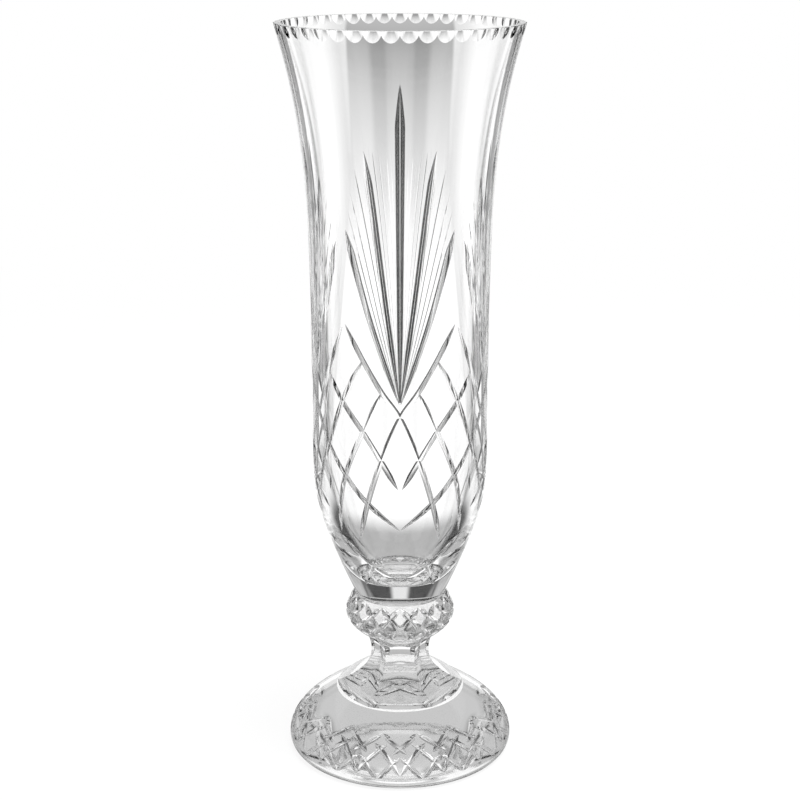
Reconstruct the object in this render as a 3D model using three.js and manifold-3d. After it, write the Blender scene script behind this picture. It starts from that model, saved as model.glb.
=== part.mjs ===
// A tall cut crystal vase on a knopped stem and a domed foot, in millimetres, +Z up.
// The origin is the centre of the foot's resting ring. The front of the pattern faces -Y.
// Each glass piece is ground flat where it meets the next, and a thin clear bond joins them.
import * as THREE from 'three';
import { mergeVertices } from 'three/addons/utils/BufferGeometryUtils.js';
import Module from 'manifold-3d';

const wasm = await Module();
wasm.setup();

// Driving dimensions. Radii are from the vase's axis, heights are from each piece's own base.
const bondThickness = 0.3;

const footHeight = 29.7;
const footRadius = 55.6;
const footWidestHeight = 5;
const footRestRadius = 52;
const footSeatRadius = 32;
const footHollowRadius = 44;
const footHollowDepth = 0.8;

const stemHeight = 31;
const stemPadRadius = 31.2;
const stemPadEdge = 2;
const stemNeckRadius = 14.3;
const stemNeckHeight = 18;
const stemTopRadius = 19.4;
const stemPanels = 6;
const stemPanelHollow = 1.2;
const stemPadRounding = 0.7;

const knopHeight = 19.9;
const knopRadius = 26.8;
const knopBellyHeight = 10.1;
const knopBottomRadius = 20.4;
const knopTopRadius = 22.4;
const knopColumns = 16;

const bowlHeight = 274.5;
const bowlBaseRadius = 22;
const bowlBaseCorner = 1.2;
const bowlBodyRadius = 42;
const bowlTaperHeight = 80;
const bowlFlareHeight = 127.5;
const bowlRimRadius = 57;
const bowlWall = 5.5;
const bowlRimWall = 3.4;
const bowlBottomThickness = 10.5;
const bowlBottomRadius = 8;

const scallopCount = 45;
const scallopHeight = 4.8;
const scallopDepth = 0.9;
const scallopOverlap = 1.06;

const fanPitch = 72;
const spearDepth = 1.25;
const latticeDepth = 0.75;
const knopCutDepth = 0.9;
const footCutDepth = 0.8;
const footColumns = 16;
const cutHalfAngle = 60;
// How far a cutting wedge stands out of the glass at its sides and in its middle
const wedgeLift = 1;
const wedgeCrown = 4;

// Smoothness of the turned shapes: whole numbers of cut columns and of scallops
const footSides = 2 * footColumns;
const knopSides = 2 * knopColumns;
const bowlSides = scallopCount;
const bondSides = 24;

const crystal = (color, roughness) =>
  new THREE.MeshStandardMaterial({ color, roughness, metalness: 0, transparent: true, opacity: 0.5 });
const glassFinish = crystal(0xe9eef0, 0.03);
const bondFinish = crystal(0xf4f6f6, 0.1);

const group = new THREE.Group();
const vec2 = (radius, height) => new THREE.Vector2(radius, height);

function solidOf(geometry) {
  geometry.deleteAttribute('normal');
  geometry.deleteAttribute('uv');
  const merged = mergeVertices(geometry, 1e-4);
  const index = merged.index.array;
  const corners = [];
  for (let i = 0; i < index.length; i += 3) {
    const [a, b, c] = [index[i], index[i + 1], index[i + 2]];
    if (a !== b && b !== c && c !== a) corners.push(a, b, c);
  }
  const mesh = new wasm.Mesh({
    numProp: 3,
    vertProperties: new Float32Array(merged.attributes.position.array),
    triVerts: new Uint32Array(corners),
  });
  return new wasm.Manifold(mesh);
}

function addPiece(name, solid, material, base) {
  const mesh = solid.getMesh();
  const geometry = new THREE.BufferGeometry();
  geometry.setAttribute('position', new THREE.BufferAttribute(mesh.vertProperties, 3));
  geometry.setIndex(new THREE.BufferAttribute(mesh.triVerts, 1));
  geometry.computeVertexNormals();
  const piece = new THREE.Mesh(geometry, material);
  piece.name = name;
  piece.position.z = base;
  group.add(piece);
}

// A turned solid: the outline runs from the axis, up the outside and back to the axis.
function turned(outline, sides) {
  const geometry = new THREE.LatheGeometry(outline, sides);
  geometry.rotateX(Math.PI / 2);
  return solidOf(geometry);
}

function bend(start, startHandle, endHandle, end, steps) {
  return new THREE.CubicBezierCurve(start, startHandle, endHandle, end).getPoints(steps);
}

// Radius and outward slope of an outline that rises or falls steadily, at a height
function wallAt(outline, height) {
  let i = 0;
  while (i < outline.length - 2 && (outline[i].y - height) * (outline[i + 1].y - height) > 0) i += 1;
  const [low, high] = [outline[i], outline[i + 1]];
  const share = (height - low.y) / (high.y - low.y);
  const run = (high.x - low.x) / (high.y - low.y);
  return { radius: low.x + (high.x - low.x) * share, lean: Math.atan(run) };
}

// Points and outward directions of a cut that is drawn as [degrees round, height] on a wall
function cutStations(outline, drawn, steps) {
  const path = new THREE.CatmullRomCurve3(drawn.map(([turn, height]) => new THREE.Vector3(turn, height, 0)));
  const stations = [];
  for (let i = 0; i <= steps; i += 1) {
    const at = path.getPoint(i / steps);
    const { radius, lean } = wallAt(outline, at.y);
    const turn = THREE.MathUtils.degToRad(at.x);
    const out = new THREE.Vector3(Math.sin(turn), -Math.cos(turn), 0);
    const point = out.clone().multiplyScalar(radius).setZ(at.y);
    const normal = out.multiplyScalar(Math.cos(lean)).setZ(-Math.sin(lean));
    stations.push({ point, normal });
  }
  return stations;
}

// The wedge that a mitre wheel takes out along a cut: its edge sinks to depthAt(share) below the wall,
// and it stands clear of the wall outside. Each station has four corners: edge, side, crown, side.
function wedge(outline, drawn, steps, depthAt) {
  const stations = cutStations(outline, drawn, steps);
  const spread = Math.tan(THREE.MathUtils.degToRad(cutHalfAngle));
  const positions = [];
  stations.forEach(({ point, normal }, i) => {
    const before = stations[Math.max(i - 1, 0)].point;
    const after = stations[Math.min(i + 1, steps)].point;
    const across = after.clone().sub(before).cross(normal).normalize();
    const depth = depthAt(i / steps);
    const side = point.clone().addScaledVector(normal, wedgeLift);
    const half = (wedgeLift + depth) * spread;
    positions.push(
      point.clone().addScaledVector(normal, -depth),
      side.clone().addScaledVector(across, -half),
      point.clone().addScaledVector(normal, wedgeCrown),
      side.addScaledVector(across, half),
    );
  });
  const corners = [0, 3, 2, 0, 2, 1];
  for (let i = 0; i < steps; i += 1) {
    for (let side = 0; side < 4; side += 1) {
      const next = (side + 1) % 4;
      const [a, b, c, d] = [4 * i + side, 4 * i + next, 4 * i + 4 + next, 4 * i + 4 + side];
      corners.push(a, b, c, a, c, d);
    }
  }
  const last = 4 * steps;
  corners.push(last, last + 1, last + 2, last, last + 2, last + 3);
  const geometry = new THREE.BufferGeometry().setFromPoints(positions);
  geometry.setIndex(corners);
  return solidOf(geometry);
}

// Depth along a cut: a spear is widest near its tip and runs out at its foot, a mitre cut is even
// between short tapers. Both end just outside the glass.
function spearDepthAt(share) {
  const opening = Math.min(share / 0.16, 1) ** 0.7;
  return spearDepth * (1.15 * opening - 0.6 * share - 0.08);
}
function evenDepth(depth) {
  const taper = 0.2;
  return (share) => depth * (1.05 * Math.min(share / taper, (1 - share) / taper, 1) - 0.05);
}

function cutAll(solid, cutters) {
  return solid.subtract(wasm.Manifold.union(cutters));
}

const mirrored = (drawn) => drawn.map(([turn, height]) => [-turn, height]);
const turnedBy = (drawn, angle) => drawn.map(([turn, height]) => [turn + angle, height]);

// Foot: a pressed dome with a flat seat on top, a ground resting ring and a shallow hollow below.
const domeRise = footHeight - footWidestHeight;
const footDome = bend(
  vec2(footSeatRadius, footHeight),
  vec2(footSeatRadius + 0.48 * (footRadius - footSeatRadius), footHeight - 0.29 * domeRise),
  vec2(footRadius, footWidestHeight + 0.39 * domeRise),
  vec2(footRadius, footWidestHeight),
  8,
);
const footUnder = bend(
  vec2(footRestRadius, 0),
  vec2(footRestRadius + 0.5 * (footRadius - footRestRadius), 0),
  vec2(footRadius, 0.45 * footWidestHeight),
  vec2(footRadius, footWidestHeight),
  3,
);
const hollowRise = bend(
  vec2(0, footHollowDepth),
  vec2(0.6 * footHollowRadius, footHollowDepth),
  vec2(0.9 * footHollowRadius, 0.3 * footHollowDepth),
  vec2(footHollowRadius, 0),
  3,
);
const footOutline = [
  ...hollowRise,
  ...footUnder.slice(0, -1),
  ...footDome.slice().reverse(),
  vec2(0, footHeight),
];
const footPitch = 360 / footColumns;
// Heights of the band of cuts, as shares of the foot's height
const footTip = 0.775;
const footCross = 0.62;
const footLow = 0.25;
const footCutters = [];
for (let column = 0; column < footColumns; column += 1) {
  const middle = column * footPitch;
  const half = footPitch / 2;
  const tall = [[-half, footTip], [0, footCross], [0.36 * half, footCross - 0.07]];
  const crossing = [[-1.42 * half, 0.67], [-half, 0.605], [-0.37 * half, 0.436], [0, footLow]];
  for (const share of [tall, crossing]) {
    const drawn = share.map(([turn, up]) => [turn, up * footHeight]);
    for (const line of [drawn, mirrored(drawn)]) {
      footCutters.push(wedge(footDome, turnedBy(line, middle), 2, evenDepth(footCutDepth)));
    }
  }
}
addPiece('foot', cutAll(turned(footOutline, footSides), footCutters), glassFinish.clone(), 0);

// Stem: waisted, ground in six panels from top to bottom, so that its pad has six corners. The panels
// are hollow at the neck. shapes holds, for each height, how hollow and how round the section is.
function panelled(outline, shapes) {
  const perPanel = 6;
  const around = stemPanels * perPanel;
  const halfPanel = Math.PI / stemPanels;
  const positions = [];
  for (const [row, { x: corner, y: height }] of outline.entries()) {
    for (let i = 0; i < around; i += 1) {
      const offMiddle = (2 * (i % perPanel) / perPanel - 1) * halfPanel;
      const flat = (corner * Math.cos(halfPanel)) / Math.cos(offMiddle);
      const sunk = shapes[row].hollow * Math.cos((offMiddle / halfPanel) * 0.5 * Math.PI);
      const radius = THREE.MathUtils.lerp(flat - sunk, corner, shapes[row].round);
      const facing = (2 * i / perPanel + 1) * halfPanel;
      positions.push(new THREE.Vector3(radius * Math.sin(facing), -radius * Math.cos(facing), height));
    }
  }
  const rows = outline.length;
  const corners = [];
  for (let row = 0; row < rows - 1; row += 1) {
    for (let i = 0; i < around; i += 1) {
      const j = (i + 1) % around;
      const [low, high] = [row * around, (row + 1) * around];
      corners.push(low + i, low + j, high + j, low + i, high + j, high + i);
    }
  }
  const bottom = positions.length;
  const top = bottom + 1;
  positions.push(new THREE.Vector3(0, 0, outline[0].y), new THREE.Vector3(0, 0, outline[rows - 1].y));
  for (let i = 0; i < around; i += 1) {
    const j = (i + 1) % around;
    corners.push(bottom, j, i, top, (rows - 1) * around + i, (rows - 1) * around + j);
  }
  const geometry = new THREE.BufferGeometry().setFromPoints(positions);
  geometry.setIndex(corners);
  return solidOf(geometry);
}
const stemFlare = bend(
  vec2(stemPadRadius, stemPadEdge),
  vec2(0.705 * stemPadRadius, 0.233 * stemNeckHeight),
  vec2(stemNeckRadius, 0.611 * stemNeckHeight),
  vec2(stemNeckRadius, stemNeckHeight),
  6,
);
const neckRise = stemHeight - stemNeckHeight;
const stemRise = bend(
  vec2(stemNeckRadius, stemNeckHeight),
  vec2(stemNeckRadius, stemNeckHeight + 0.45 * neckRise),
  vec2(stemNeckRadius + 0.15 * (stemTopRadius - stemNeckRadius), stemHeight - 0.43 * neckRise),
  vec2(stemTopRadius, stemHeight),
  4,
);
const stemOutline = [vec2(stemPadRadius, 0), ...stemFlare, ...stemRise.slice(1)];
const stemShapes = stemOutline.map(({ y }) => ({
  hollow: stemPanelHollow * Math.min(1, Math.max(0, y - stemPadEdge) / (0.5 * stemNeckHeight)),
  round: Math.max(stemPadRounding * (1 - y / (0.5 * stemNeckHeight)), (y / stemHeight - 0.82) / 0.18, 0),
}));
const stemBase = footHeight + bondThickness;
addPiece('stem', panelled(stemOutline, stemShapes), glassFinish.clone(), stemBase);

// Knop: a flattened ball, cut in diamonds, with a smooth shoulder under the bowl.
const knopLower = bend(
  vec2(knopBottomRadius, 0),
  vec2(knopBottomRadius, 0.03 * knopBellyHeight),
  vec2(knopRadius, 0.39 * knopBellyHeight),
  vec2(knopRadius, knopBellyHeight),
  4,
);
const knopUpper = bend(
  vec2(knopRadius, knopBellyHeight),
  vec2(knopRadius, knopBellyHeight + 0.34 * (knopHeight - knopBellyHeight)),
  vec2(knopTopRadius + 0.2, knopHeight - 0.1),
  vec2(knopTopRadius, knopHeight),
  4,
);
const knopWall = [...knopLower, ...knopUpper.slice(1)];
const knopPitch = 360 / knopColumns;
const knopCutters = [];
for (let column = 0; column < knopColumns; column += 1) {
  const diamond = [[0, 0.94], [-0.5, 0.71], [-1, 0.45], [-1.5, 0.21], [-1.9, 0.06]];
  const drawn = diamond.map(([turn, up]) => [turn * knopPitch, up * knopHeight]);
  for (const line of [drawn, mirrored(drawn)]) {
    knopCutters.push(wedge(knopWall, turnedBy(line, column * knopPitch), 4, evenDepth(knopCutDepth)));
  }
}
const knopBase = stemBase + stemHeight + bondThickness;
const knopSolid = turned([vec2(0, 0), ...knopWall, vec2(0, knopHeight)], knopSides);
addPiece('knop', cutAll(knopSolid, knopCutters), glassFinish.clone(), knopBase);

// Bowl: blown with a thick rounded bottom, then cut. Its outside rises from the ground base, tapers out
// to the body and flares to the rim. The inside follows it, a wall's thickness in.
const bowlCorner = bend(
  vec2(bowlBaseRadius - bowlBaseCorner, 0),
  vec2(bowlBaseRadius - 0.4 * bowlBaseCorner, 0),
  vec2(bowlBaseRadius, 0.2 * bowlBaseCorner),
  vec2(bowlBaseRadius + 0.5 * bowlBaseCorner, bowlBaseCorner),
  2,
);
const bowlTaper = bend(
  vec2(bowlBaseRadius + 0.5 * bowlBaseCorner, bowlBaseCorner),
  vec2(bowlBaseRadius + 1.09 * (bowlBodyRadius - bowlBaseRadius), 0.58 * bowlTaperHeight),
  vec2(bowlBodyRadius, 0.72 * bowlTaperHeight),
  vec2(bowlBodyRadius, bowlTaperHeight),
  6,
);
const flareRun = bowlHeight - bowlFlareHeight;
const bowlFlare = bend(
  vec2(bowlBodyRadius, bowlFlareHeight),
  vec2(bowlBodyRadius, bowlFlareHeight + 0.53 * flareRun),
  vec2(bowlBodyRadius + 0.2 * (bowlRimRadius - bowlBodyRadius), bowlFlareHeight + 0.72 * flareRun),
  vec2(bowlRimRadius, bowlHeight),
  6,
);
const bowlOutside = [...bowlCorner, ...bowlTaper.slice(1), ...bowlFlare];
const insideBody = bowlBodyRadius - bowlWall;
const insideRim = bowlRimRadius - bowlRimWall;
const insideFlare = bend(
  vec2(insideRim, bowlHeight),
  vec2(insideBody + 0.2 * (insideRim - insideBody), bowlFlareHeight + 0.72 * flareRun),
  vec2(insideBody, bowlFlareHeight + 0.53 * flareRun),
  vec2(insideBody, bowlFlareHeight),
  5,
);
const insideBottom = bend(
  vec2(insideBody, bowlTaperHeight),
  vec2(insideBody, bowlBottomThickness + 0.42 * (bowlTaperHeight - bowlBottomThickness)),
  vec2(bowlBottomRadius + 0.32 * (insideBody - bowlBottomRadius), bowlBottomThickness),
  vec2(bowlBottomRadius, bowlBottomThickness),
  6,
);
const bowlOutline = [
  vec2(0, 0), ...bowlOutside, ...insideFlare, ...insideBottom, vec2(0, bowlBottomThickness),
];

// One thumbprint out of the rim's outer edge, by a round wheel that sinks scallopDepth into the leaning wall
const scallopWidth = (2 * Math.PI * bowlRimRadius) / scallopCount;
const scallopReach = 0.5 * scallopWidth;
const wheelRadius = (scallopReach ** 2 + scallopDepth ** 2) / (2 * scallopDepth);
const rimLean = wallAt(bowlOutside, bowlHeight - 0.5 * scallopHeight).lean;
function scallop(turn) {
  const geometry = new THREE.SphereGeometry(wheelRadius, 12, 8);
  geometry.scale(scallopOverlap, 1, scallopHeight / scallopReach);
  geometry.translate(0, scallopDepth - wheelRadius, 0);
  geometry.rotateX(rimLean);
  geometry.translate(0, -bowlRimRadius, bowlHeight);
  geometry.rotateZ(turn);
  return solidOf(geometry);
}
const bowlCutters = [];
for (let i = 0; i < scallopCount; i += 1) {
  bowlCutters.push(scallop(((i + 0.5) * 2 * Math.PI) / scallopCount));
}

// The pattern is drawn for the half left of the front, as [degrees, share of the bowl's height]. The
// other half is its mirror image. It has a fan at the front and one on each side, and the lattice ends
// beyond those at patternEdge. The back is plain, so that nothing is seen through the front but glass.
const middleSpear = [[0, 0.919], [0, 0.64], [0, 0.395]];
const innerSpear = [[-20.3, 0.812], [-11, 0.6], [-0.8, 0.395]];
const outerSpear = [[-34.5, 0.681], [-18.5, 0.53], [-1.2, 0.39]];
const fan = [middleSpear, innerSpear, mirrored(innerSpear), outerSpear, mirrored(outerSpear)];
// A side fan is narrower and shorter, with each spear measured from the fan's foot.
const fanFoot = 0.395;
const sideWidth = 0.88;
const shortened = (drawn, tall) =>
  drawn.map(([turn, height]) => [sideWidth * turn, fanFoot + tall * (height - fanFoot)]);
const sideFan = [
  shortened(middleSpear, 0.8),
  ...[innerSpear, mirrored(innerSpear)].map((drawn) => shortened(drawn, 0.88)),
  ...[outerSpear, mirrored(outerSpear)].map((drawn) => shortened(drawn, 0.93)),
];
// The front cut runs on over the middle, and its mirror image crosses it there.
const frontCut = [
  [-36.6, 0.523], [-23.8, 0.465], [-11.4, 0.411], [0, 0.367],
  [11.9, 0.292], [21, 0.215], [29, 0.14],
];
const lattice = [
  [[-50.7, 0.434], [-38.9, 0.388], [-24, 0.341], [-12.2, 0.292], [-1.1, 0.242]],
  [[-108, 0.523], [-66, 0.366], [-51.7, 0.306], [-37, 0.259], [-21.4, 0.215], [0, 0.165]],
  [[-36, 0.115], [-22, 0.086], [-8, 0.064], [0, 0.056]],
  [[-37.4, 0.52], [-51.3, 0.435], [-62, 0.368], [-78, 0.292], [-89, 0.215], [-98, 0.14]],
  [[-23.5, 0.466], [-38.9, 0.388], [-51.7, 0.306], [-60.4, 0.251], [-66, 0.204]],
  [[-11.5, 0.412], [-24, 0.341], [-37, 0.259], [-43.7, 0.18], [-45.5, 0.153]],
  [[-18, 0.104], [-37, 0.04]],
];
const patternEdge = -112;
const halfPattern = [frontCut];
for (const side of [0, -fanPitch]) {
  for (const drawn of lattice) {
    const line = turnedBy(drawn, side).filter(([turn]) => turn >= patternEdge);
    if (line.length > 1) halfPattern.push(line);
  }
}
function cutBowl(drawn, depthAt) {
  const line = drawn.map(([turn, up]) => [turn, up * bowlHeight]);
  bowlCutters.push(wedge(bowlOutside, line, drawn.length + 1, depthAt));
}
for (const middle of [-fanPitch, 0, fanPitch]) {
  const spears = middle === 0 ? fan : sideFan;
  for (const drawn of spears) cutBowl(turnedBy(drawn, middle), spearDepthAt);
}
for (const drawn of halfPattern) {
  cutBowl(drawn, evenDepth(latticeDepth));
  cutBowl(mirrored(drawn), evenDepth(latticeDepth));
}
const bowlBase = knopBase + knopHeight + bondThickness;
addPiece('bowl', cutAll(turned(bowlOutline, bowlSides), bowlCutters), glassFinish.clone(), bowlBase);

// Bonds: films between the ground faces, as wide as the smaller face
function bond(name, radius, base) {
  const film = [vec2(0, 0), vec2(radius, 0), vec2(radius, bondThickness), vec2(0, bondThickness)];
  addPiece(name, turned(film, bondSides), bondFinish.clone(), base);
}
const bondInset = 0.5;
const padFlats = stemPadRadius * Math.cos(Math.PI / stemPanels);
bond('stem_bond', padFlats - bondInset, footHeight);
bond('knop_bond', Math.min(stemTopRadius, knopBottomRadius) - bondInset, stemBase + stemHeight);
const bowlFlat = bowlBaseRadius - bowlBaseCorner;
bond('bowl_bond', Math.min(knopTopRadius, bowlFlat) - bondInset, knopBase + knopHeight);

export default group;
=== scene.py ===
import math

import bpy
import numpy as np
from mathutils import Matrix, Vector


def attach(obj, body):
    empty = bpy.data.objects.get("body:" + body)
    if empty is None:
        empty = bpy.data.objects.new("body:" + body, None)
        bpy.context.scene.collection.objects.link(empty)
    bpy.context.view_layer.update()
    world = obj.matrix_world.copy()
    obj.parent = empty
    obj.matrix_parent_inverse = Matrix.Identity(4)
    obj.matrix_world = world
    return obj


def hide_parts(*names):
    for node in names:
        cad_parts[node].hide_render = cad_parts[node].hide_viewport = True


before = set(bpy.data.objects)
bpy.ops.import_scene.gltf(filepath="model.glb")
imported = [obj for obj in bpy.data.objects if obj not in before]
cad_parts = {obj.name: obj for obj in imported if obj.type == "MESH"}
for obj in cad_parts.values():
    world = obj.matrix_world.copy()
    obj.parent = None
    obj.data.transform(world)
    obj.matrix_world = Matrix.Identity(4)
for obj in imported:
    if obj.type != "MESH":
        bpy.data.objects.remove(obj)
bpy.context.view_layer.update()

MM = 0.001

# The camera stands a little above the rim and looks down on the vase from the front, -Y. Its distance,
# height and tilt were worked out from the ellipses of the rim and the foot.
CAMERA_DISTANCE = 767 * MM
CAMERA_HEIGHT = 410.3 * MM
CAMERA_TILT = math.radians(16.8)
LENS_MM = 75.25
camera_data = bpy.data.cameras.new("camera")
camera_data.lens = LENS_MM
camera_data.sensor_width = 36
camera_data.clip_start = 0.01
camera = bpy.data.objects.new("camera", camera_data)
camera.location = (0, -CAMERA_DISTANCE, CAMERA_HEIGHT)
camera.rotation_euler = (math.pi / 2 - CAMERA_TILT, 0, 0)
bpy.context.collection.objects.link(camera)
bpy.context.scene.camera = camera
bpy.context.scene.view_settings.view_transform = "Standard"


# Foot
# A pressed dome of clear crystal with a flat seat on top, ground flat on a ring below. A wheel has cut
# a band of crossing mitre cuts round its shoulder, in sixteen columns.
FACETS = 240
MM_PER_DEGREE = 0.73


def bend(start, start_handle, end_handle, end, count):
    """Points on a cubic curve in a turned outline, as [radius, height] in millimetres."""
    t = np.linspace(0, 1, count)[:, None]
    corners = [np.array(c, float) for c in (start, start_handle, end_handle, end)]
    weights = [(1 - t) ** 3, 3 * t * (1 - t) ** 2, 3 * t ** 2 * (1 - t), t ** 3]
    return sum(w * c for w, c in zip(weights, corners))


def straight(start, end):
    return np.array([start, end], float)


def shaped(name, verts, faces, normals):
    """A mesh that carries its true normals, one for each corner of each face, through the cutting."""
    made = bpy.data.meshes.new(name)
    made.from_pydata(verts, [], faces)
    carried = made.attributes.new("true_normal", "FLOAT_VECTOR", "CORNER")
    carried.data.foreach_set("vector", np.ravel(normals))
    return made


ON_AXIS = 1e-6


class Turning:
    """A turned outline in millimetres: smooth runs that meet in corners, from axis to axis."""

    def __init__(self, base, runs):
        self.runs = [np.asarray(run, float) + (0, base) for run in runs]

    def mesh(self, name, around):
        """The closed turned shape, in metres, with its facets counted from the front."""
        outline, steps = [self.runs[0][0]], []
        for run in self.runs:
            heading = np.gradient(run, axis=0)
            heading /= np.linalg.norm(heading, axis=1)[:, None]
            outward = np.column_stack([heading[:, 1], -heading[:, 0]])
            steps.extend(zip(outward, outward[1:]))
            outline.extend(run[1:])
        turns = np.arange(around) * 2 * math.pi / around
        facing = np.column_stack([np.sin(turns), -np.cos(turns)])
        verts, rings = [], []
        for radius, height in outline:
            rings.append(len(verts))
            if radius < ON_AXIS:
                verts.append((0, 0, height * MM))
            else:
                verts.extend((x * radius * MM, y * radius * MM, height * MM) for x, y in facing)
        faces, normals = [], []
        for low in range(len(rings) - 1):
            high = low + 1
            a, b = rings[low], rings[high]
            (out_low, up_low), (out_high, up_high) = steps[low]
            for i in range(around):
                j = (i + 1) % around
                at_low = [(x * out_low, y * out_low, up_low) for x, y in (facing[i], facing[j])]
                at_high = [(x * out_high, y * out_high, up_high) for x, y in (facing[j], facing[i])]
                if outline[low][0] < ON_AXIS:
                    faces.append((a, b + j, b + i))
                    normals.extend([(0, 0, up_low)] + at_high)
                elif outline[high][0] < ON_AXIS:
                    faces.append((a + i, a + j, b))
                    normals.extend(at_low + [(0, 0, up_high)])
                else:
                    faces.append((a + i, a + j, b + j, b + i))
                    normals.extend(at_low + at_high)
        return shaped(name, verts, faces, normals)

    def wall(self, run):
        """Radius and outward normal, in the radius and height plane, at a height on one run."""
        points = self.runs[run]
        order = np.argsort(points[:, 1])
        radii, heights = points[order, 0], points[order, 1]
        slope = np.gradient(radii, heights)

        def at(height):
            lean = np.interp(height, heights, slope)
            size = np.hypot(1, lean)
            return np.interp(height, heights, radii), np.array([1 / size, -lean / size])

        return at


def through(points, count, dense_steps=24):
    """A smooth path through drawn points [degrees round, height], evenly stepped."""
    points = np.array(points, float)
    ends = np.vstack([2 * points[0] - points[1], points, 2 * points[-1] - points[-2]])
    dense = []
    for a, b, c, d in zip(ends, ends[1:], ends[2:], ends[3:]):
        t = np.linspace(0, 1, dense_steps, endpoint=False)[:, None]
        dense.append(b + 0.5 * t * (c - a + t * (2 * a - 5 * b + 4 * c - d + t * (3 * (b - c) + d - a))))
    dense = np.vstack(dense + [points[-1:]])
    steps = np.diff(dense * (MM_PER_DEGREE, 1), axis=0)
    travel = np.concatenate([[0], np.cumsum(np.hypot(*steps.T))])
    even = np.linspace(0, travel[-1], count)
    return np.column_stack([np.interp(even, travel, dense[:, k]) for k in (0, 1)])


def mitre_section(edge=47, root=36, stops=(0.05, 0.4, 0.75, 1.0), steps=200):
    """Half the outline of a mitre cut one unit deep, from its middle out, as [across, rise, lean].

    Its walls lean from root degrees beside the rounded bottom to edge degrees at the glass's surface.
    """
    across = np.linspace(0, 1, steps + 1)
    lean = np.radians(root + (edge - root) * across)
    rise = np.concatenate([[0], np.cumsum(np.tan((lean[1:] + lean[:-1]) / 2)) / steps])
    rise -= rise[np.searchsorted(across, stops[0])]
    deep = rise[-1]
    rises = [max(0, np.interp(stop, across, rise)) / deep for stop in stops]
    leans = [np.interp(stop, across, lean) for stop in stops]
    return [(stop / deep, up, tilt) for stop, up, tilt in zip(stops, rises, leans)]


THINNEST = 0.05


class Cutter:
    """The closed wedges that a mitre wheel sweeps out, gathered so that they cut in one go."""

    def __init__(self, section=None, lift=1.2, crown=4.0):
        self.half = section or mitre_section()
        self.lift, self.crown = lift, crown
        self.verts, self.faces, self.normals = [], [], []

    def sweep(self, wall, path, depths):
        """One cut: path holds [degrees, height] and depths how deep its edge lies, in millimetres."""
        first = len(self.verts)
        points, normals = [], []
        for degrees, height in path:
            radius, (out, up) = wall(height)
            turn = math.radians(degrees)
            facing = np.array((math.sin(turn), -math.cos(turn), 0))
            points.append(facing * radius + (0, 0, height))
            normals.append(facing * out + (0, 0, up))
        points, normals = np.array(points), np.array(normals)
        last = len(points) - 1
        side = np.cross(np.gradient(points, axis=0), normals)
        side /= np.linalg.norm(side, axis=1)[:, None]
        rings, leans = [], []
        for point, normal, across, depth in zip(points, normals, side, depths):
            size = max(depth, THINNEST)
            outline = [(x * size, rise * size - depth, lean) for x, rise, lean in self.half]
            width, top, lean = outline[-1]
            outline.append((width + (self.lift - top) / math.tan(lean), self.lift, lean))
            left = [(-x, rise, -lean) for x, rise, lean in outline]
            corners = left + [(0, self.crown, 0)] + outline[::-1]
            rings.append([point + normal * rise + across * x for x, rise, lean in corners])
            leans.append([across * math.cos(lean) + normal * math.sin(lean) for x, rise, lean in corners])
        rings, leans = np.array(rings), np.array(leans)
        true = np.cross(leans, np.gradient(rings, axis=0))
        true /= np.linalg.norm(true, axis=2)[:, :, None]
        self.verts.extend(map(tuple, rings.reshape(-1, 3) * MM))
        ring = rings.shape[1]
        for i in range(last):
            for k in range(ring):
                n = (k + 1) % ring
                square = ((i, k), (i, n), (i + 1, n), (i + 1, k))
                self.faces.append(tuple(first + ring * row + at for row, at in square))
                self.normals.extend(true[row, at] for row, at in square)
        end = first + ring * last
        self.faces.append(tuple(reversed(range(first, first + ring))))
        self.faces.append(tuple(range(end, end + ring)))
        self.normals.extend(np.zeros((2 * ring, 3)))

    def scoop(self, centre, axes, sizes, around=40, rows=28):
        """One round hollow: the wheel as an ellipsoid, with its centre and half sizes in millimetres."""
        first = len(self.verts)
        down = np.linspace(0, math.pi, rows + 1)[1:-1, None]
        turn = np.linspace(0, 2 * math.pi, around, endpoint=False)[None]
        ball = (np.sin(down) * np.cos(turn), np.sin(down) * np.sin(turn), np.cos(down))
        unit = np.stack(np.broadcast_arrays(*ball), 2)
        unit = np.vstack([[(0, 0, 1)], unit.reshape(-1, 3), [(0, 0, -1)]])
        axes = np.array(axes)
        self.verts.extend(map(tuple, (np.array(centre) + unit * sizes @ axes) * MM))
        inward = -(unit / sizes) @ axes
        inward /= np.linalg.norm(inward, axis=1)[:, None]
        faces = []
        pole = 1 + around * (rows - 1)
        for i in range(around):
            j = (i + 1) % around
            faces.append((0, 1 + i, 1 + j))
            for row in range(rows - 2):
                a = 1 + around * row
                faces.append((a + i, a + around + i, a + around + j, a + j))
            faces.append((pole - around + i, pole, pole - around + j))
        self.faces.extend(tuple(first + v for v in face) for face in faces)
        self.normals.extend(inward[v] for face in faces for v in face)


CUT_FINISH = 1


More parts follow.
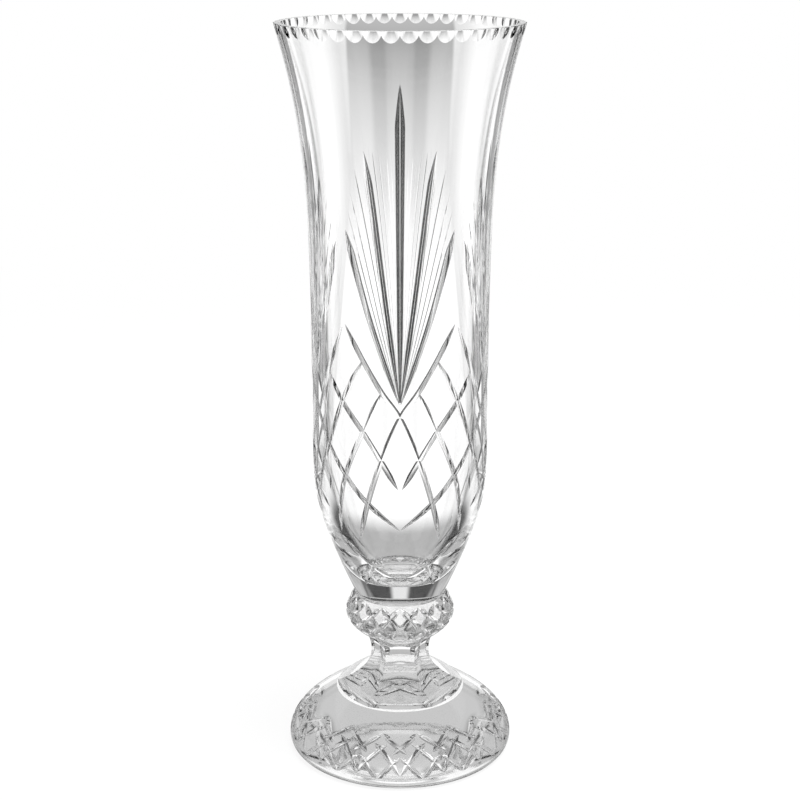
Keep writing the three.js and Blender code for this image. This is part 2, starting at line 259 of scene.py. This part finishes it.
def cut_piece(name, mesh, cutters, finishes):
    """Cuts a mesh with each cutter in turn. The ground faces get the second of the two finishes."""
    piece = bpy.data.objects.new(name, mesh)
    bpy.context.collection.objects.link(piece)
    for finish in finishes:
        piece.data.materials.append(finish)
    for cutter in cutters:
        tool_mesh = shaped("wheel", cutter.verts, cutter.faces, cutter.normals)
        for finish in finishes:
            tool_mesh.materials.append(finish)
        tool_mesh.polygons.foreach_set("material_index", [CUT_FINISH] * len(tool_mesh.polygons))
        tool = bpy.data.objects.new("wheel", tool_mesh)
        bpy.context.collection.objects.link(tool)
        cutting = piece.modifiers.new("cut", "BOOLEAN")
        cutting.operation = "DIFFERENCE"
        cutting.solver = "MANIFOLD"
        cutting.object = tool
        cut = bpy.data.meshes.new_from_object(piece.evaluated_get(bpy.context.evaluated_depsgraph_get()))
        piece.modifiers.clear()
        old = piece.data
        piece.data = cut
        bpy.data.meshes.remove(old)
        bpy.data.objects.remove(tool)
        bpy.data.meshes.remove(tool_mesh)
    piece.data.name = name
    polish(piece.data)
    return piece


def polish(mesh):
    """Turns the normals that a mesh carries into the ones that it is shaded with."""
    carried = mesh.attributes["true_normal"]
    normals = np.empty(3 * len(mesh.loops))
    carried.data.foreach_get("vector", normals)
    mesh.attributes.remove(carried)
    mesh.polygons.foreach_set("use_smooth", [True] * len(mesh.polygons))
    mesh.normals_split_custom_set(normals.reshape(-1, 3).tolist())


class Shade:
    """A socket of a material's nodes. Sums and products of values add Math nodes."""

    def __init__(self, tree, socket=None):
        self.tree, self.socket = tree, socket

    def node(self, kind, settings=None, sockets=None, output=0):
        made = self.tree.nodes.new(kind)
        for name, value in (settings or {}).items():
            setattr(made, name, value)
        for name, value in (sockets or {}).items():
            if isinstance(value, Shade):
                self.tree.links.new(value.socket, made.inputs[name])
            else:
                made.inputs[name].default_value = value
        return Shade(self.tree, made.outputs[output] if made.outputs else None)

    def maths(self, operation, *values):
        return self.node("ShaderNodeMath", {"operation": operation}, dict(enumerate(values)))

    def __add__(self, other):
        return self.maths("ADD", self, other)

    def __sub__(self, other):
        return self.maths("SUBTRACT", self, other)

    def __rsub__(self, other):
        return self.maths("SUBTRACT", other, self)

    def __mul__(self, other):
        return self.maths("MULTIPLY", self, other)

    __radd__ = __add__
    __rmul__ = __mul__


def new_material(name):
    material = bpy.data.materials.new(name)
    material.use_nodes = True
    material.node_tree.nodes.clear()
    return material, Shade(material.node_tree)


CRYSTAL_IOR = 1.54
HAZE_SCALE = 900.0


def crystal(name, ripple, ripple_scale, haze):
    """Clear crystal: its skin ripples by a few hundredths of a millimetre, and haze is its roughness."""
    material, start = new_material(name)
    place = start.node("ShaderNodeTexCoord", output="Object")
    slow = start.node("ShaderNodeTexNoise", {}, {"Vector": place, "Scale": ripple_scale, "Detail": 1.0})
    fine = start.node("ShaderNodeTexNoise", {}, {"Vector": place, "Scale": HAZE_SCALE, "Detail": 2.0})
    bump = start.node("ShaderNodeBump", {}, {"Height": slow * ripple, "Distance": 1.0, "Strength": 1.0})
    glass = start.node(
        "ShaderNodeBsdfPrincipled",
        {},
        {
            "Base Color": (1.0, 1.0, 1.0, 1.0),
            "Roughness": fine * haze,
            "IOR": CRYSTAL_IOR,
            "Transmission Weight": 1.0,
            "Normal": bump,
        },
    )
    start.node("ShaderNodeOutputMaterial", {}, {"Surface": glass})
    return material


blown = crystal("blown_crystal", ripple=0.00003, ripple_scale=28.0, haze=0.004)
ground = crystal("wheel_cut_crystal", ripple=0.000004, ripple_scale=240.0, haze=0.03)

FOOT_TOP = 29.7
FOOT_SEAT = 31.8
FOOT_RADIUS = 55.6
FOOT_WIDEST = 5.0
FOOT_RING = 52.0
FOOT_HOLLOW = 44.0
FOOT_HOLLOW_DEPTH = 0.8
FOOT_COLUMNS = 16
DOME_RUN = 3
foot_turning = Turning(0, [
    bend((0, FOOT_HOLLOW_DEPTH), (26, FOOT_HOLLOW_DEPTH), (40, 0.24), (FOOT_HOLLOW, 0), 20),
    straight((FOOT_HOLLOW, 0), (FOOT_RING, 0)),
    bend((FOOT_RING, 0), (54, 0), (FOOT_RADIUS, 2.2), (FOOT_RADIUS, FOOT_WIDEST), 12),
    bend((FOOT_RADIUS, FOOT_WIDEST), (FOOT_RADIUS, 14.69), (43.26, 22.48), (FOOT_SEAT, FOOT_TOP), 40),
    straight((FOOT_SEAT, FOOT_TOP), (0, FOOT_TOP)),
])


RUN_OUT = 0.04
ENTRY = 0.6


def tapered(count, depth, taper=0.18):
    """Depths along a cut that runs out of the glass at both ends."""
    share = np.linspace(0, 1, count)
    entered = np.clip(np.minimum(share, 1 - share) / taper, 0, 1)
    return depth * ((1 + RUN_OUT) * entered ** ENTRY - RUN_OUT)


foot_pitch = 360 / FOOT_COLUMNS
half = foot_pitch / 2
FOOT_CUT = 1.2
FOOT_STEPS = 9
# Each family of cuts as drawn left of a column, in degrees from it and heights in millimetres
foot_families = [
    [(-half, 23.1), (0, 18.4), (0.36 * half, 16.3)],
    [(-1.42 * half, 19.9), (-half, 18.0), (-0.37 * half, 12.95), (0, 7.6)],
    [(0, 15.3), (-0.37 * half, 12.6), (-half, 6.0)],
]
foot_cutters = []
dome_wall = foot_turning.wall(DOME_RUN)
for family in foot_families:
    for side in (1, -1):
        wheel = Cutter()
        for column in range(FOOT_COLUMNS):
            drawn = np.array(family) * (side, 1) + (column * foot_pitch, 0)
            wheel.sweep(dome_wall, through(drawn, FOOT_STEPS), tapered(FOOT_STEPS, FOOT_CUT))
        foot_cutters.append(wheel)
foot = cut_piece("foot_crystal", foot_turning.mesh("foot", FACETS), foot_cutters, [blown, ground])

# Its underside is ground flat and left satin, which spreads the light of the table through the foot
SATIN_FINISH = 2
DOWNWARD = -0.9
satin = crystal("satin_crystal", ripple=0.0, ripple_scale=60.0, haze=0.08)
foot.data.materials.append(satin)
for face in foot.data.polygons:
    if face.normal.z < DOWNWARD:
        face.material_index = SATIN_FINISH


def set_in(piece, node):
    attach(piece, "root")
    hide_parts(node)


set_in(foot, "foot")


# Bonds
# Clear films 0.3 mm thick that join the ground faces of the glass pieces. Each reaches a hair into the
# glass on both sides, so that no air shows between them.
BOND = 0.3
JOIN = 0.02
BOND_FACETS = 96
bond_clear = crystal("clear_bond", ripple=0.0, ripple_scale=60.0, haze=0.002)


def bond(name, radius, base):
    low, high = -JOIN, BOND + JOIN
    film = Turning(base, [straight((0, low), (radius, low)), straight((radius, low), (radius, high)),
                          straight((radius, high), (0, high))])
    piece = cut_piece(name + "_film", film.mesh(name, BOND_FACETS), [], [bond_clear, bond_clear])
    set_in(piece, name)


bond("stem_bond", radius=26.5, base=FOOT_TOP)


# Stem
# A short waisted stem of the same crystal, pressed and then ground in six hollow panels. It flares into
# a six-cornered pad with soft corners, and turns round again at its top.
STEM_BASE = FOOT_TOP + BOND
STEM_HEIGHT = 31.0
PAD_RADIUS = 31.2
PAD_EDGE = 2.0
PAD_ROUNDING = 0.7
NECK_RADIUS = 14.3
NECK_HEIGHT = 18.0
STEM_TOP = 19.4
PANELS = 6
PANEL_HOLLOW = 1.2
PAD_FADE = 9.0
ROUND_FROM = 0.82
STEM_CREASE = math.radians(18)
stem_outline = np.vstack([
    [(PAD_RADIUS, 0)],
    bend((PAD_RADIUS, PAD_EDGE), (22.0, 4.2), (NECK_RADIUS, 11.0), (NECK_RADIUS, NECK_HEIGHT), 36),
    bend((NECK_RADIUS, NECK_HEIGHT), (NECK_RADIUS, 23.85), (15.07, 25.4), (STEM_TOP, STEM_HEIGHT), 22)[1:],
])
turns = (np.arange(FACETS) + 0.5 * FACETS / PANELS) * 2 * math.pi / FACETS
half_panel = math.pi / PANELS
off_middle = (turns + half_panel) % (2 * half_panel) - half_panel
verts = []
for radius, height in stem_outline:
    flat = radius * math.cos(half_panel) / np.cos(off_middle)
    above_pad = min(1, max(0, height - PAD_EDGE) / PAD_FADE)
    sunk = PANEL_HOLLOW * above_pad * np.cos(off_middle / half_panel * math.pi / 2)
    round_top = (height / STEM_HEIGHT - ROUND_FROM) / (1 - ROUND_FROM)
    rounding = max(PAD_ROUNDING * (1 - height / PAD_FADE), round_top, 0)
    radii = (flat - sunk) * (1 - rounding) + radius * rounding
    for turn, r in zip(turns, radii):
        verts.append((r * math.sin(turn) * MM, -r * math.cos(turn) * MM, (STEM_BASE + height) * MM))
rows = len(stem_outline)
faces = []
for row in range(rows - 1):
    a, b = row * FACETS, (row + 1) * FACETS
    for i in range(FACETS):
        j = (i + 1) % FACETS
        faces.append((a + i, a + j, b + j, b + i))
faces.append(tuple(reversed(range(FACETS))))
faces.append(tuple(range((rows - 1) * FACETS, rows * FACETS)))
stem_mesh = bpy.data.meshes.new("stem_crystal")
stem_mesh.from_pydata(verts, [], faces)
stem_mesh.materials.append(ground)
stem = bpy.data.objects.new("stem_crystal", stem_mesh)
bpy.context.collection.objects.link(stem)
stem_mesh.polygons.foreach_set("use_smooth", [True] * len(stem_mesh.polygons))
stem_mesh.set_sharp_from_angle(angle=STEM_CREASE)
set_in(stem, "stem")

KNOP_BASE = STEM_BASE + STEM_HEIGHT + BOND
bond("knop_bond", radius=18.9, base=KNOP_BASE - BOND)


# Knop
# A flattened ball of solid crystal with diamonds cut all round it: sixteen columns of crossing mitre
# cuts. Its smooth shoulder is ground flat on top and carries the bowl.
KNOP_HEIGHT = 19.9
KNOP_RADIUS = 26.8
KNOP_BELLY = 10.1
KNOP_BOTTOM = 20.4
KNOP_TOP = 22.4
KNOP_COLUMNS = 16
knop_turning = Turning(KNOP_BASE, [
    straight((0, 0), (KNOP_BOTTOM, 0)),
    np.vstack([
        bend((KNOP_BOTTOM, 0), (KNOP_BOTTOM, 0.3), (KNOP_RADIUS, 3.94), (KNOP_RADIUS, KNOP_BELLY), 24),
        bend((KNOP_RADIUS, KNOP_BELLY), (KNOP_RADIUS, 13.4), (KNOP_TOP + 0.25, KNOP_HEIGHT - 0.1),
             (KNOP_TOP, KNOP_HEIGHT), 24)[1:],
    ]),
    straight((KNOP_TOP, KNOP_HEIGHT), (0, KNOP_HEIGHT)),
])
knop_pitch = 360 / KNOP_COLUMNS
KNOP_CUT = 1.4
KNOP_STEPS = 21
KNOP_ENDS = 0.15
BALL_RUN = 1
# One cut, in columns round and millimetres up
diamond = [(0, 18.9), (-0.5, 14.3), (-1, 9.0), (-1.5, 4.4), (-1.9, 1.2)]
knop_cutters = []
knop_wall = knop_turning.wall(BALL_RUN)
for side in (1, -1):
    for odd in (0, 1):
        wheel = Cutter()
        for column in range(odd, KNOP_COLUMNS, 2):
            drawn = [((turn * side + column) * knop_pitch, KNOP_BASE + up) for turn, up in diamond]
            wheel.sweep(knop_wall, through(drawn, KNOP_STEPS), tapered(KNOP_STEPS, KNOP_CUT, KNOP_ENDS))
        knop_cutters.append(wheel)
knop = cut_piece("knop_crystal", knop_turning.mesh("knop", FACETS), knop_cutters, [blown, ground])
set_in(knop, "knop")

BOWL_BASE = KNOP_BASE + KNOP_HEIGHT + BOND
bond("bowl_bond", radius=20.3, base=BOWL_BASE - BOND)


# Bowl
# The tall trumpet bowl, blown thick at the bottom and thinner at the rim. Wheels have ground thumbprints
# out of the rim, and into the wall a fan of long spears in front, a smaller one on each side and a lattice
# of crossing mitre cuts below them.
BOWL_HEIGHT = 274.5
BASE_RADIUS = 22.0
BASE_CORNER = 1.2
BODY_RADIUS = 42.0
TAPER_HEIGHT = 80.0
FLARE_HEIGHT = 127.5
RIM_RADIUS = 57.0
RIM_WALL = 3.4
WALL = 5.5
BOTTOM = 10.5
FLAT = 8.0
INNER = BODY_RADIUS - WALL
INNER_RIM = RIM_RADIUS - RIM_WALL
WALL_RUN = 2
BOWL_FACETS = 270
corner_start = (BASE_RADIUS - BASE_CORNER, 0)
corner_low = (BASE_RADIUS - 0.4 * BASE_CORNER, 0)
corner_high = (BASE_RADIUS, 0.2 * BASE_CORNER)
corner_end = (BASE_RADIUS + 0.5 * BASE_CORNER, BASE_CORNER)
rim_edge = (RIM_RADIUS, BOWL_HEIGHT)
bowl_turning = Turning(BOWL_BASE, [
    straight((0, 0), corner_start),
    bend(corner_start, corner_low, corner_high, corner_end, 6),
    np.vstack([
        bend(corner_end, (43.8, 46.4), (BODY_RADIUS, 57.6), (BODY_RADIUS, TAPER_HEIGHT), 44),
        bend((BODY_RADIUS, FLARE_HEIGHT), (BODY_RADIUS, 205.4), (45.0, 233.3), rim_edge, 60),
    ]),
    straight(rim_edge, (INNER_RIM, BOWL_HEIGHT)),
    np.vstack([
        bend((INNER_RIM, BOWL_HEIGHT), (39.9, 233.3), (INNER, 205.4), (INNER, FLARE_HEIGHT), 50),
        bend((INNER, TAPER_HEIGHT), (INNER, 39.7), (17.0, BOTTOM), (FLAT, BOTTOM), 50),
        [(0, BOTTOM)],
    ]),
])
outside = bowl_turning.wall(WALL_RUN)

# The thumbprints, cut in three turns so that neighbours never share a cutter
SCALLOPS = 45
SCALLOP_HEIGHT = 4.8
SCALLOP_DEPTH = 0.7
SCALLOP_OVERLAP = 1.1
SCALLOP_LEAN_AT = 2.5
RIM_TURNS = 3
scallop_width = 2 * math.pi * RIM_RADIUS / SCALLOPS
reach = scallop_width / 2
wheel_radius = 1 / (2 * SCALLOP_DEPTH / reach ** 2 - 1 / RIM_RADIUS)
lean_out, lean_up = outside(BOWL_BASE + BOWL_HEIGHT - SCALLOP_LEAN_AT)[1]
rim_cutters = [Cutter() for cutter in range(RIM_TURNS)]
for i in range(SCALLOPS):
    turn = (i + 0.5) * 2 * math.pi / SCALLOPS
    facing = np.array((math.sin(turn), -math.cos(turn), 0))
    leaning = facing * lean_out + (0, 0, lean_up)
    along = (math.cos(turn), math.sin(turn), 0)
    edge = facing * RIM_RADIUS + (0, 0, BOWL_BASE + BOWL_HEIGHT)
    centre = edge + leaning * (wheel_radius - SCALLOP_DEPTH)
    sizes = (wheel_radius * SCALLOP_OVERLAP, wheel_radius * SCALLOP_HEIGHT / reach, wheel_radius)
    rim_cutters[i % RIM_TURNS].scoop(centre, (along, np.cross(leaning, along), leaning), sizes)

FAN_PITCH = 72
FAN_MIDDLES = (-FAN_PITCH, 0, FAN_PITCH)
SPEAR_HEAD = 0.13
SPEAR_WAIST = 0.8
SPEAR_END = 0.15
SPEAR_TIP = 0.75


def spear(count, depth, foot_share):
    """Depths along a spear: widest an eighth of the way from its tip, and running out at its foot."""
    share = np.linspace(0, 1, count)
    opening = np.clip(share / SPEAR_HEAD, 0, 1) ** SPEAR_TIP
    closing = np.interp(share, [0, SPEAR_HEAD, SPEAR_WAIST, 1], [1, 1, foot_share, SPEAR_END])
    return depth * opening * closing - RUN_OUT


# Spears as [degrees round, height], each with its depth, the share of it that is left at the foot, its
# steps, and how tall it is in the side fans. Drawn left of the middle, they are mirrored.
fan_groups = [
    ([(0, 333.8), (0, 262), (0, 190)], 2.09, 0.6, 60, 0.8),
    ([(-20.35, 304.5), (-11, 246.5), (-0.4, 190)], 1.73, 0.6, 52, 0.88),
    ([(-34.5, 268.6), (-18.5, 227), (-0.6, 189)], 1.65, 0.6, 44, 0.93),
]
FAN_FOOT = 190
SIDE_WIDTH = 0.88


def in_fan(drawn, side, middle, tall):
    """A line of the front fan, or of a side fan, which is narrower and shorter."""
    if middle == 0:
        return np.array(drawn) * (side, 1)
    return (np.array(drawn) - (0, FAN_FOOT)) * (side * SIDE_WIDTH, tall) + (middle, FAN_FOOT)


HAIRLINE_DEPTH = 0.16
HAIRLINE_ENDS = 0.08
HAIRLINE_STEPS = 30
HAIRLINE_LEAN = 32
HAIRLINE_TALL = 0.85
hairlines = [
    [(-26.7, 296.7), (-13.2, 241), (-0.5, 190)],
    [(-30.3, 286.2), (-15, 236), (-0.5, 190)],
    [(-32.2, 276.7), (-16.4, 232), (-0.5, 190)],
    [(-15.3, 305), (-7.7, 248), (-0.4, 192)],
    [(-11.8, 304), (-5.9, 248), (-0.3, 192)],
    [(-7.2, 302), (-3.6, 247), (-0.2, 192)],
    [(-4.6, 296), (-2.3, 244), (-0.2, 192)],
]
bowl_cutters = []
for drawn, depth, foot_share, count, tall in fan_groups:
    for side in (1, -1) if drawn[0][0] else (1,):
        wheel = Cutter()
        for middle in FAN_MIDDLES:
            path = through(in_fan(drawn, side, middle, tall), count)
            wheel.sweep(outside, path, spear(count, depth, foot_share))
        bowl_cutters.append(wheel)
for drawn in hairlines:
    for side in (1, -1):
        wheel = Cutter(mitre_section(HAIRLINE_LEAN, HAIRLINE_LEAN, (0.0, 1.0)))
        for middle in FAN_MIDDLES:
            path = through(in_fan(drawn, side, middle, HAIRLINE_TALL), HAIRLINE_STEPS)
            wheel.sweep(outside, path, tapered(HAIRLINE_STEPS, HAIRLINE_DEPTH, HAIRLINE_ENDS))
        bowl_cutters.append(wheel)

# The lattice: the two cuts that cross in front, and families of shallow and steep ones on both sides
MITRE = 1.13
MITRE_STEP = 1.8
MITRE_ENDS = 0.12
FEWEST_STEPS = 8
FRONT_STEPS = 70
FRONT_ENDS = 0.1
front_cut = [
    (-36.6, 225.2), (-23.8, 209.2), (-11.4, 194.4), (0, 182.35), (11.9, 161.8), (21, 140.4), (29.2, 119.8),
]
shallow = [
    [(-50.7, 200.7), (-38.9, 188.1), (-24, 175), (-12.2, 161.8), (-1.1, 147.9)],
    [(-108, 225), (-66.6, 182.35), (-63, 178.4), (-51.7, 165.6), (-37, 152.6), (-21.4, 140.4), (0, 126.9)],
    [(-50, 121), (-36, 113), (-22, 105), (-8, 99), (0, 96.8)],
]
steep = [
    [(-38.3, 223.6), (-51.3, 201), (-62, 182.6), (-78, 161.8), (-89, 140.4), (-98, 119.8)],
    [(-23.5, 209.3), (-38.9, 188.1), (-51.7, 165.6), (-60.4, 150.4), (-66, 137)],
    [(-11.5, 194.6), (-24, 175), (-37, 152.6), (-43.7, 131), (-46, 122)],
    [(-18, 110), (-37, 92.6)],
]
PATTERN_EDGE = -112
for family in (shallow, steep):
    for drawn in family:
        for side in (1, -1):
            wheel = Cutter()
            for middle in (0, -FAN_PITCH):
                line = np.array(drawn, float) + (middle, 0)
                line = line[line[:, 0] >= PATTERN_EDGE]
                if len(line) > 1:
                    span = np.hypot(*(np.diff(line, axis=0) * (MM_PER_DEGREE, 1)).T).sum()
                    count = max(FEWEST_STEPS, int(span / MITRE_STEP))
                    path = through(line * (side, 1), count)
                    wheel.sweep(outside, path, tapered(count, MITRE, MITRE_ENDS))
            bowl_cutters.append(wheel)
for side in (1, -1):
    wheel = Cutter()
    path = through(np.array(front_cut) * (side, 1), FRONT_STEPS)
    wheel.sweep(outside, path, tapered(FRONT_STEPS, MITRE, FRONT_ENDS))
    bowl_cutters.append(wheel)

blank = bowl_turning.mesh("bowl", BOWL_FACETS)
bowl = cut_piece("bowl_crystal", blank, rim_cutters + bowl_cutters, [blown, ground])
set_in(bowl, "bowl")


# Floor and studio
# A plain white table top in a studio of pale panels, as clear glass is lit so that its edges and cuts draw
# dark. For glass the table top glows with painted light and shade: panels, dark wedges and the vase's
# shadow. Only glass sees these tones: the camera sees a white table top with the vase's faint shadow.
def from_camera(start):
    return start.node("ShaderNodeLightPath", output="Is Camera Ray")


def ramp(start, value, between, tones):
    """A smooth step between two values, from the first tone to the second."""
    sockets = dict(zip(("Value", "From Min", "From Max", "To Min", "To Max"), (value, *between, *tones)))
    return start.node("ShaderNodeMapRange", {"interpolation_type": "SMOOTHSTEP"}, sockets, output="Result")


PANEL_PITCH = 45.0


def round_the_vase(start, place):
    """How far a place lies beside the middle plane, its degrees round from straight behind the vase, +Y,
    and its degrees from the middle of the nearest panel."""
    x = start.maths("ABSOLUTE", start.node("ShaderNodeSeparateXYZ", {}, {0: place}, output="X"))
    y = start.node("ShaderNodeSeparateXYZ", {}, {0: place}, output="Y")
    turn = start.maths("ARCTAN2", x, y) * (180 / math.pi)
    return x, turn, start.maths("PINGPONG", turn, PANEL_PITCH / 2)


FLOOR = 8.0
FLOOR_DROP = 0.00005
corners = [(x * FLOOR, y * FLOOR, -FLOOR_DROP) for x, y in ((-1, -1), (1, -1), (1, 1), (-1, 1))]
floor_mesh = bpy.data.meshes.new("floor")
floor_mesh.from_pydata(corners, [], [(0, 1, 2, 3)])
floor = bpy.data.objects.new("floor", floor_mesh)
bpy.context.collection.objects.link(floor)
floor_paint, start = new_material("table_top")
place = start.node("ShaderNodeTexCoord", output="Object")
x, turn, off_panel = round_the_vase(start, place)
far = start.node("ShaderNodeVectorMath", {"operation": "LENGTH"}, {0: place}, output="Value")

# Turns are in degrees and distances in metres. A tone of 1 is white.
IN, OUT = (0.0, 1.0), (1.0, 0.0)
FIELD_TONE = 1.18

# A strip of painted light straight behind the vase, which fades to grey with distance
BEHIND = 90.0
STRIP_EDGE = (0.175, 0.19)
STRIP_TONE, STRIP_FADE = 1.66, 0.475
STRIP_END, STRIP_END_TONES = (3.0, 4.0), (0.34, 0.5)
strip = ramp(start, x, STRIP_EDGE, OUT) * start.maths("LESS_THAN", turn, BEHIND)
end_tone = ramp(start, far, STRIP_END, STRIP_END_TONES)
fade = start.maths("MAXIMUM", STRIP_TONE - STRIP_FADE * far, end_tone)
strip_tone = start.maths("MINIMUM", fade, FIELD_TONE)

# The bright field of painted light, a little softer beside the strip. Wedges of painted shade part it into
# panels. The first wedge is the one that the spears of the front fan draw dark against.
FRINGE, FRINGE_TONE = (0.175, 0.32), 0.9
FIRST_STARTS, FIRST_ENDS = (21.5, 27), (36, 40)
OTHERS_START = (12, 17)
WEDGE_TIP = (0.15, 0.28)
fringe = ramp(start, x, FRINGE, (FRINGE_TONE, FIELD_TONE))
first = ramp(start, turn, FIRST_STARTS, IN) * ramp(start, turn, FIRST_ENDS, OUT)
others = ramp(start, off_panel, OTHERS_START, IN) * start.maths("GREATER_THAN", turn, PANEL_PITCH)
wedge = start.maths("MAXIMUM", first, others) * ramp(start, far, WEDGE_TIP, IN)

# Painted shade makes it darker close by at both sides, and darker between the panels towards the horizon
SIDE_STARTS, SIDE_ENDS, SIDE_REACH, SIDE_LOSS = (50, 60), (108, 118), (0.5, 1.3), 0.62
HORIZON, HORIZON_PANEL, HORIZON_TONES = (1.6, 5.0), (5, 16), (0.85, 0.45)
beside = ramp(start, turn, SIDE_STARTS, (0.0, SIDE_LOSS))
beside = beside * ramp(start, turn, SIDE_ENDS, OUT) * ramp(start, far, SIDE_REACH, OUT)
horizon_tone = ramp(start, off_panel, HORIZON_PANEL, HORIZON_TONES)
distant = ramp(start, far, HORIZON, (1.0, horizon_tone))
field = fringe * (1 - wedge) * (1 - beside) * distant

# A grey patch beside the foot on both sides, then a painted shadow of the vase round its foot
PATCH_STARTS, PATCH_ENDS, PATCH_REACH, PATCH_TONE = (33, 38), (60, 70), (0.45, 0.55), 0.6
SHADE_TURN, SHADE_TONES, SHADE_REACH = (35, 55), (0.53, 0.05), (0.18, 0.23)
patch = ramp(start, turn, PATCH_STARTS, IN) * ramp(start, turn, PATCH_ENDS, OUT)
patch = patch * ramp(start, far, PATCH_REACH, OUT)
field = field * (1 - patch) + PATCH_TONE * patch
shade_tone = ramp(start, turn, SHADE_TURN, SHADE_TONES)
shade = ramp(start, far, SHADE_REACH, OUT)
grade = (strip_tone * strip + field * (1 - strip)) * (1 - shade) + shade_tone * shade

# Under the foot the table carries painted light within the resting ring and painted shade at the front
UNDER = 0.06
RING, RING_TONES = (0.042, 0.046), (1.1, 0.62)
FRONT, FRONT_TONES = (-0.02, -0.008), (0.25, 1.0)
y = start.node("ShaderNodeSeparateXYZ", {}, {0: place}, output="Y")
under = start.maths("LESS_THAN", far, UNDER)
under_foot_light_and_shade = ramp(start, far, RING, RING_TONES) * ramp(start, y, FRONT, FRONT_TONES)
grade = grade * (1 - under) + under_foot_light_and_shade * under
# The glass sees the table top glow with this painted light and shade
seen_by_glass = start.node("ShaderNodeEmission", {}, {"Color": grade, "Strength": 1.0})

# The camera sees matt white paint that takes the shadow, and melts into plain white further off
PAINT = (0.9, 0.9, 0.9, 1)
WHITE = (1, 1, 1, 1)
MELT, MELT_SHARES = (0.3, 1.2), (0.9, 1.0)
paint = start.node("ShaderNodeBsdfDiffuse", {}, {"Color": PAINT})
white = start.node("ShaderNodeEmission", {}, {"Color": WHITE, "Strength": 1.0})
seen = start.node("ShaderNodeMixShader", {}, {0: ramp(start, far, MELT, MELT_SHARES), 1: paint, 2: white})
mixed = start.node("ShaderNodeMixShader", {}, {0: from_camera(start), 1: seen_by_glass, 2: seen})
start.node("ShaderNodeOutputMaterial", {}, {"Surface": mixed})
floor.data.materials.append(floor_paint)

# The room: three bands of panels one above another, with grey between them and dark overhead. Heights are
# degrees above the horizon. Behind the vase the lowest panel is narrow and its neighbours are dark.
world = bpy.data.worlds.new("studio")
world.use_nodes = True
world.node_tree.nodes.clear()
bpy.context.scene.world = world
start = Shade(world.node_tree)
direction = start.node("ShaderNodeTexCoord", output="Generated")
x, turn, off_panel = round_the_vase(start, direction)
height = start.node("ShaderNodeSeparateXYZ", {}, {0: direction}, output="Z")
lift = start.maths("ARCSINE", height) * (180 / math.pi)
LOW_PANEL, LOW_TONES = (4, 9), (0.85, 0.07)
ROUND_PANEL, ROUND_TONES = (4, 16), (0.85, 0.4)
ROUND_STARTS = (36, 42)
low_behind = ramp(start, turn, LOW_PANEL, LOW_TONES)
low_round = ramp(start, off_panel, ROUND_PANEL, ROUND_TONES)
round_back = ramp(start, turn, ROUND_STARTS, IN)
low = low_behind * (1 - round_back) + low_round * round_back
MIDDLE_BEHIND, MIDDLE_PANEL = (28, 36), (6, 14)
MIDDLE_DARK, MIDDLE_GAIN = 0.06, 0.54
clear_behind = ramp(start, turn, MIDDLE_BEHIND, OUT)
clear = start.maths("MAXIMUM", clear_behind, ramp(start, off_panel, MIDDLE_PANEL, OUT))
middle = MIDDLE_DARK + MIDDLE_GAIN * clear
HIGH_TONE = 0.58
ABOVE_LOW, ABOVE_MIDDLE, ABOVE_HIGH = (11, 15), (20, 24), (42, 48)
glow = low + (middle - low) * ramp(start, lift, ABOVE_LOW, IN)
glow = glow + (HIGH_TONE - glow) * ramp(start, lift, ABOVE_MIDDLE, IN)
glow = glow * (1 - ramp(start, lift, ABOVE_HIGH, IN))
is_camera = from_camera(start)
strength = is_camera + (1 - is_camera) * glow
back = start.node("ShaderNodeBackground", {}, {"Color": WHITE, "Strength": strength})
start.node("ShaderNodeOutputWorld", {}, {"Surface": back})

# A soft lamp that glass doesn't see casts the faint shadow
lamp_data = bpy.data.lights.new("lamp", "AREA")
lamp_data.shape = "DISK"
lamp_data.size = 1.2
lamp_data.energy = 60
lamp = bpy.data.objects.new("lamp", lamp_data)
lamp.location = (0.3, -0.2, 1.8)
MID_VASE = Vector((0, 0, 0.1))
lamp.rotation_euler = (MID_VASE - lamp.location).to_track_quat("-Z", "Y").to_euler()
lamp.visible_camera = lamp.visible_glossy = lamp.visible_transmission = False
bpy.context.collection.objects.link(lamp)

# Light crosses many glass faces here, so its paths are long
bpy.context.scene.cycles.max_bounces = 32
bpy.context.scene.cycles.glossy_bounces = 24
bpy.context.scene.cycles.transmission_bounces = 32
